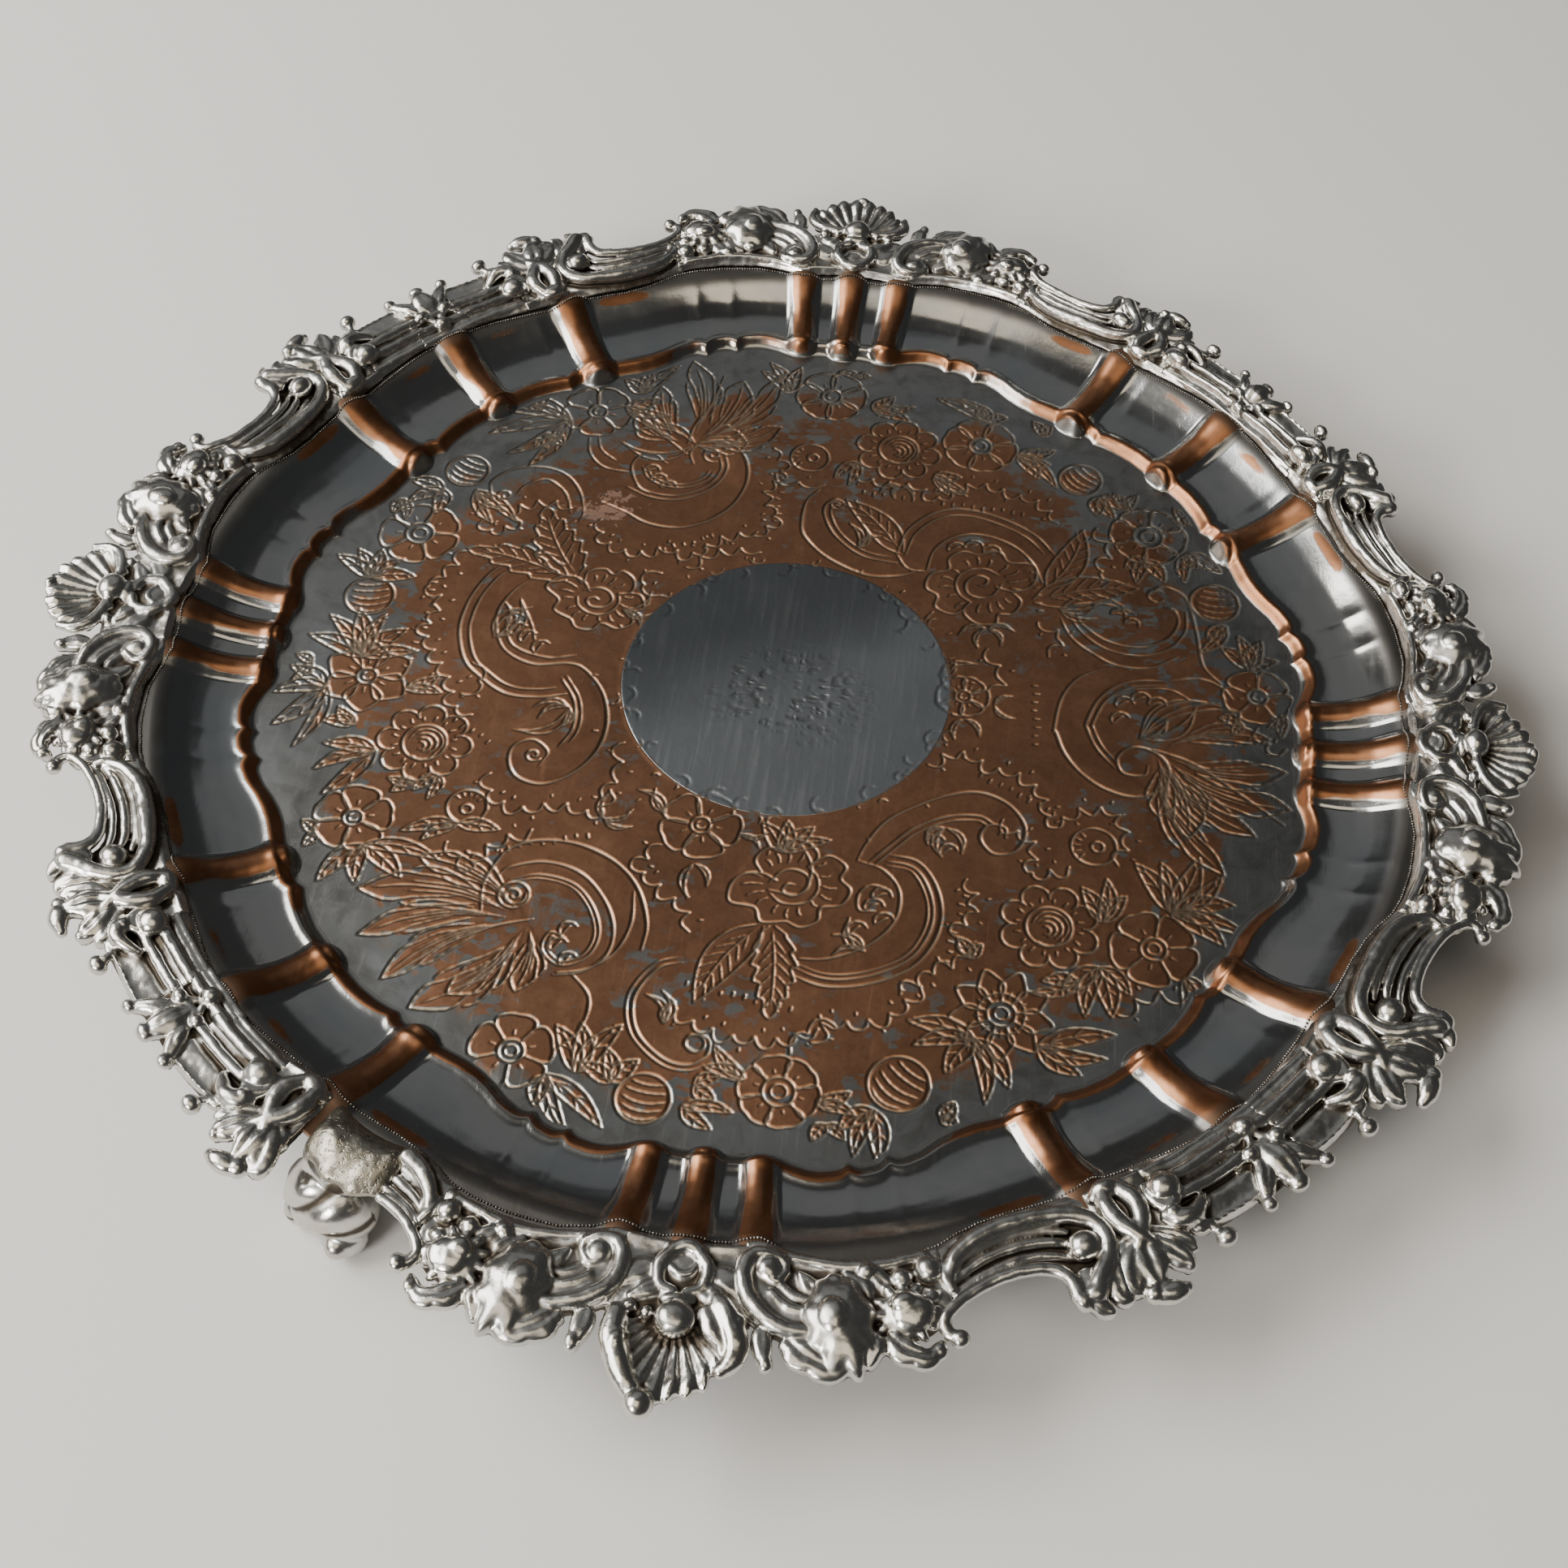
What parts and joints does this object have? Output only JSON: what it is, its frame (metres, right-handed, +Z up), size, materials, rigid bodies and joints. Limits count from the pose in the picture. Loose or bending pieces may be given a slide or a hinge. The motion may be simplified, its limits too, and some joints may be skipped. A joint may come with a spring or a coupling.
{
  "type": "salver",
  "caption": "Round shallow serving tray with a chased floor, fluted wall, shell and scroll border in relief, and three short shell feet.",
  "frame": {"origin": "on the table under the centre of the salver", "axes": "+Z up through the centre of the floor; -Y towards the shell at the front, +X towards the shell on the right"},
  "size_m": [0.3065, 0.3102, 0.0265],
  "materials": {
    "plated_sheet": "silver fused on copper, polished, worn through to copper on the high spots",
    "shield_silver": "rubbed-in silver, finely scratched",
    "mount_silver": "struck silver, bright on the relief, dark in the hollows",
    "lead_filling": "bare lead-tin filling, dull and pitted",
    "foot_silver": "silver over lead-tin, polished"
  },
  "bodies": {
    "root": {"tray_body": "plated_sheet", "centre_shield": "shield_silver", "shell_mount_1": "mount_silver", "shell_mount_2": "mount_silver", "shell_mount_3": "mount_silver", "shell_mount_4": "mount_silver", "flower_mount_1": "mount_silver", "flower_mount_2": "mount_silver", "flower_mount_3": "mount_silver", "flower_mount_4": "mount_silver", "flower_mount_5": "mount_silver", "flower_mount_6": "mount_silver", "flower_mount_7": "mount_silver", "flower_mount_8": "mount_silver", "scroll_mount_1": "mount_silver", "scroll_mount_2": "mount_silver", "scroll_mount_3": "mount_silver", "scroll_mount_4": "mount_silver", "scroll_mount_5": "mount_silver", "scroll_mount_6": "mount_silver", "scroll_mount_7": "mount_silver", "scroll_mount_8": "mount_silver", "leaf_mount_1": "mount_silver", "leaf_mount_2": "mount_silver", "leaf_mount_3": "mount_silver", "leaf_mount_4": "mount_silver", "leaf_mount_5": "mount_silver", "leaf_mount_6": "mount_silver", "leaf_mount_7": "mount_silver", "leaf_mount_8": "mount_silver", "reed_mount_1": "mount_silver", "reed_mount_2": "mount_silver", "reed_mount_3": "mount_silver", "reed_mount_4": "mount_silver", "reed_mount_5": "mount_silver", "reed_mount_6": "mount_silver", "reed_mount_7": "mount_silver", "reed_mount_8": "mount_silver", "spray_mount_1": "mount_silver", "spray_mount_2": "mount_silver", "spray_mount_3": "mount_silver", "spray_mount_4": "mount_silver", "bare_filling": "lead_filling", "foot_1": "foot_silver", "foot_2": "foot_silver", "foot_3": "foot_silver"}
  },
  "joints": []
}
